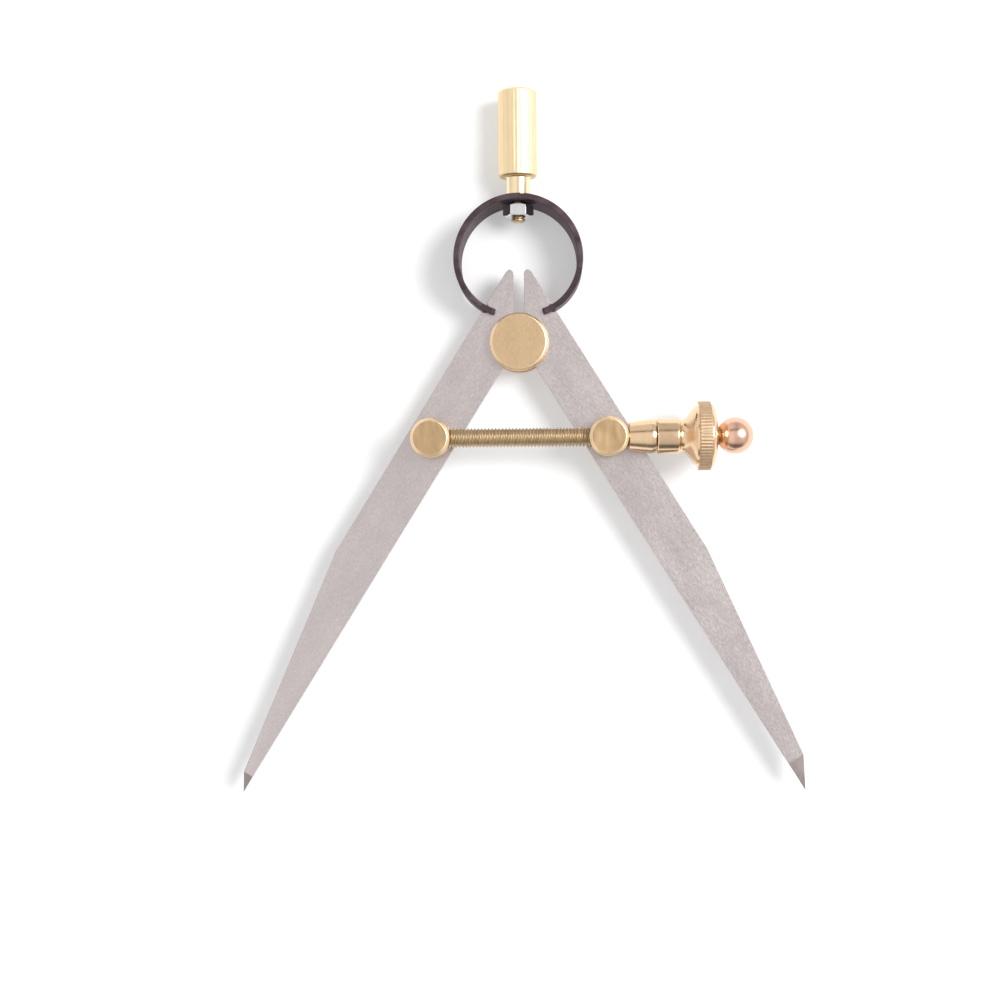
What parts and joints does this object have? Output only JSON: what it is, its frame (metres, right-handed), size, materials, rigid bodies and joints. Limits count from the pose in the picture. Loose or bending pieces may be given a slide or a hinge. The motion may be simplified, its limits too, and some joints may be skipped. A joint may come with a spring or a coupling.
{
  "type": "drawing compass",
  "caption": "Spring divider compass with flat steel legs, a bow spring, a knurled brass handle and a screw with a knurled nut that sets the opening.",
  "frame": {"origin": "on the fulcrum axis, at the back face of the fulcrum's back cap", "axes": "+X to the right, +Y towards the handle, +Z out of the front face; the fulcrum axis is Z"},
  "size_m": [0.1162, 0.1449, 0.0177],
  "materials": {
    "leg_steel": "brushed along the leg, ground points",
    "roller_steel": "turned",
    "spring_steel": "black oxide, satin",
    "handle_brass": "polished, knurled grip",
    "fulcrum_brass": "satin, faced",
    "stud_brass": "satin, faced",
    "screw_brass": "threaded",
    "nut_brass": "polished, knurled rim",
    "ball_copper": "polished, copper coloured",
    "plated_nut": "bright plated"
  },
  "bodies": {
    "fulcrum": {"fulcrum_post": "fulcrum_brass", "fulcrum_roller": "roller_steel", "fulcrum_back_cap": "fulcrum_brass"},
    "right_leg": {"right_leg": "leg_steel"},
    "left_leg": {"left_leg": "leg_steel"},
    "right_stud": {"right_stud": "stud_brass", "right_stud_washer": "stud_brass", "seat_collar": "nut_brass"},
    "left_stud": {"left_stud": "stud_brass", "left_stud_washer": "stud_brass", "adjusting_screw": "screw_brass", "stop_ball": "ball_copper"},
    "adjusting_nut": {"adjusting_nut": "nut_brass"},
    "head": {"handle": "handle_brass", "handle_nut": "plated_nut", "spring_crown": "spring_steel"},
    "left_arm": {"spring_left_arm": "spring_steel"},
    "right_arm": {"spring_right_arm": "spring_steel"}
  },
  "joints": [
    {"name": "right_leg_hinge", "type": "hinge", "parent": "fulcrum", "child": "right_leg", "pos_m": [0, 0, 0.0037], "axis": [0, 0, 1], "range_deg": [-32, 0.5]},
    {"name": "left_leg_hinge", "type": "hinge", "parent": "fulcrum", "child": "left_leg", "pos_m": [0, 0, 0.0037], "axis": [0, 0, 1], "range_deg": [-0.5, 32]},
    {"name": "right_stud_pivot", "type": "hinge", "parent": "right_leg", "child": "right_stud", "pos_m": [0.01811, -0.01975, 0.0037], "axis": [0, 0, 1], "range_deg": [-0.5, 32]},
    {"name": "left_stud_pivot", "type": "hinge", "parent": "left_leg", "child": "left_stud", "pos_m": [-0.01811, -0.01975, 0.0037], "axis": [0, 0, 1], "range_deg": [-32, 0.5]},
    {"name": "adjusting_nut_spin", "type": "hinge", "parent": "right_stud", "child": "adjusting_nut", "pos_m": [0.03, -0.01975, 0.00895], "axis": [1, 0, 0], "continuous": true},
    {"name": "handle_slide", "type": "slide", "parent": "fulcrum", "child": "head", "axis": [0, 1, 0], "range_m": [-0.0042, 0.0001]},
    {"name": "right_arm_flex", "type": "hinge", "parent": "head", "child": "right_arm", "pos_m": [0.01189, 0.02123, 0.0037], "axis": [0, 0, 1], "range_deg": [-0.2, 10.8], "deforming": ["spring_right_arm"]},
    {"name": "left_arm_flex", "type": "hinge", "parent": "head", "child": "left_arm", "pos_m": [-0.01189, 0.02123, 0.0037], "axis": [0, 0, 1], "range_deg": [-10.8, 0.2], "deforming": ["spring_left_arm"]}
  ],
  "couplings": [
    {"joint": "left_leg_hinge", "follows": "right_leg_hinge", "ratio": -1},
    {"joint": "right_stud_pivot", "follows": "right_leg_hinge", "ratio": -1},
    {"joint": "left_stud_pivot", "follows": "right_leg_hinge", "ratio": 1},
    {"joint": "handle_slide", "follows": "right_leg_hinge", "m_per_rad": 0.00751},
    {"joint": "right_arm_flex", "follows": "right_leg_hinge", "ratio": -0.3362},
    {"joint": "left_arm_flex", "follows": "right_leg_hinge", "ratio": 0.3362}
  ]
}
